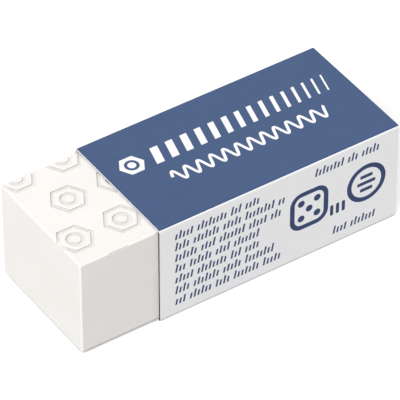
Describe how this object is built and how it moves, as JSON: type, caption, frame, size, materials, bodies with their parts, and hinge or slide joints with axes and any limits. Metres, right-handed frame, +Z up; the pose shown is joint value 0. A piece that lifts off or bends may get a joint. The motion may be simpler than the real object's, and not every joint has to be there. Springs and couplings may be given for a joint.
{
  "type": "plastic eraser in a card sleeve",
  "caption": "Small oblong eraser of white vinyl in a folded, glued card sleeve that slides along it, with one end of the block bare.",
  "frame": {"origin": "on the surface that the sleeve rests on, under the middle of the block", "axes": "+X along the block from its bare end to the end that is flush with the sleeve, +Y across it towards the glued side, +Z up"},
  "size_m": [0.042, 0.0171, 0.0133],
  "materials": {
    "white_vinyl": "matte",
    "printed_card": "satin"
  },
  "bodies": {
    "sleeve": {"card_sleeve": "printed_card"},
    "block": {"eraser_block": "white_vinyl"}
  },
  "joints": [
    {"name": "block_slide", "type": "slide", "parent": "sleeve", "child": "block", "axis": [1, 0, 0], "range_m": [-0.033, 0.043]}
  ]
}
